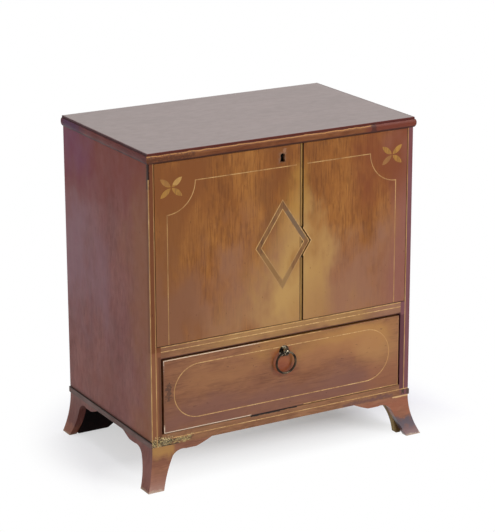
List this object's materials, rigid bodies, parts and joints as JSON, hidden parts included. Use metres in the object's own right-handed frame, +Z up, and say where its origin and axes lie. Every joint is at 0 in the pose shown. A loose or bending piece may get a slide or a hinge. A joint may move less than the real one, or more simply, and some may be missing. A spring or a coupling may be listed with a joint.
{
  "type": "sugar chest",
  "caption": "Small case on flared bracket feet with a fixed moulded top, a pair of unequal inlaid doors over one long drawer with a ring pull, and light stringing.",
  "frame": {"origin": "middle of the bounding box on the floor, under the case", "axes": "+Z up, front with doors and drawer facing -Y, +X to the right seen from the front, metres"},
  "size_m": [0.64, 0.391, 0.677],
  "materials": {
    "side_wood": "old shellac polish over purple-brown cherry",
    "front_wood": "old shellac polish over golden to reddish brown veneer",
    "top_wood": "worn shellac polish, greyed",
    "moulding_wood": "old shellac polish",
    "foot_wood": "old shellac polish, chipped at the floor",
    "bead_wood": "old shellac polish",
    "string_wood": "light stringing under old polish",
    "petal_wood": "shaded light inlay under old polish",
    "band_wood": "dark cross-grained banding under old polish",
    "secondary_wood": "bare poplar, darkened by age",
    "old_brass": "blackened cast brass",
    "old_iron": "hand-forged iron, dull"
  },
  "bodies": {
    "case": {"left_side": "side_wood", "right_side": "side_wood", "top_board": "top_wood", "top_front_moulding": "moulding_wood", "top_left_moulding": "moulding_wood", "top_right_moulding": "moulding_wood", "back_board_lower": "secondary_wood", "back_board_middle": "secondary_wood", "back_board_upper": "secondary_wood", "base_rail": "front_wood", "bottom_board": "secondary_wood", "door_rail": "front_wood", "dust_board": "secondary_wood", "shelf": "secondary_wood", "shelf_cleats": "secondary_wood", "left_base_strip": "side_wood", "right_base_strip": "side_wood", "drawer_guides": "secondary_wood", "drawer_stops": "secondary_wood", "pivot_plates": "old_iron", "left_corner_strings": "string_wood", "right_corner_string": "string_wood", "rail_strings": "string_wood", "base_string": "string_wood", "front_left_foot_front": "foot_wood", "front_left_foot_side": "foot_wood", "front_right_foot_front": "foot_wood", "front_right_foot_side": "foot_wood", "rear_left_foot_side": "foot_wood", "rear_right_foot_side": "foot_wood", "front_foot_backings": "secondary_wood", "rear_foot_brackets": "secondary_wood", "foot_blocks": "secondary_wood"},
    "left_door": {"left_door": "front_wood", "left_door_pivots": "old_iron", "meeting_bead": "bead_wood", "left_door_string": "string_wood", "left_flower": "petal_wood", "lozenge_strings": "string_wood", "lozenge_band": "band_wood", "lock_case": "old_brass"},
    "lock_bolt": {"lock_bolt": "old_brass"},
    "right_door": {"right_door": "front_wood", "right_door_pivots": "old_iron", "right_door_string": "string_wood", "right_flower": "petal_wood", "notch_string": "string_wood", "slide_bolt_plate": "old_iron"},
    "slide_bolt": {"slide_bolt": "old_iron"},
    "drawer": {"drawer_front": "front_wood", "drawer_left_side": "secondary_wood", "drawer_right_side": "secondary_wood", "drawer_back": "secondary_wood", "drawer_bottom": "secondary_wood", "drawer_oval_string": "string_wood", "drawer_edge_string": "string_wood", "pull_boss": "old_brass", "pull_nut": "old_iron"},
    "pull_ring": {"pull_ring": "old_brass"}
  },
  "joints": [
    {"name": "left_door_swing", "type": "hinge", "parent": "case", "child": "left_door", "pos_m": [-0.2795, -0.171, 0.468], "axis": [0, 0, -1], "range_deg": [0, 110]},
    {"name": "right_door_swing", "type": "hinge", "parent": "case", "child": "right_door", "pos_m": [0.2795, -0.171, 0.468], "axis": [0, 0, 1], "range_deg": [0, 110]},
    {"name": "drawer_slide", "type": "slide", "parent": "case", "child": "drawer", "axis": [0, -1, 0], "range_m": [0, 0.26]},
    {"name": "ring_pull_swing", "type": "hinge", "parent": "drawer", "child": "pull_ring", "pos_m": [-0.001, -0.1837, 0.2335], "axis": [-1, 0, 0], "range_deg": [-5, 150]},
    {"name": "lock_bolt_slide", "type": "slide", "parent": "left_door", "child": "lock_bolt", "axis": [0, 0, 1], "range_m": [0, 0.0075]},
    {"name": "right_door_bolt_slide", "type": "slide", "parent": "right_door", "child": "slide_bolt", "axis": [0, 0, 1], "range_m": [0, 0.0075]}
  ]
}
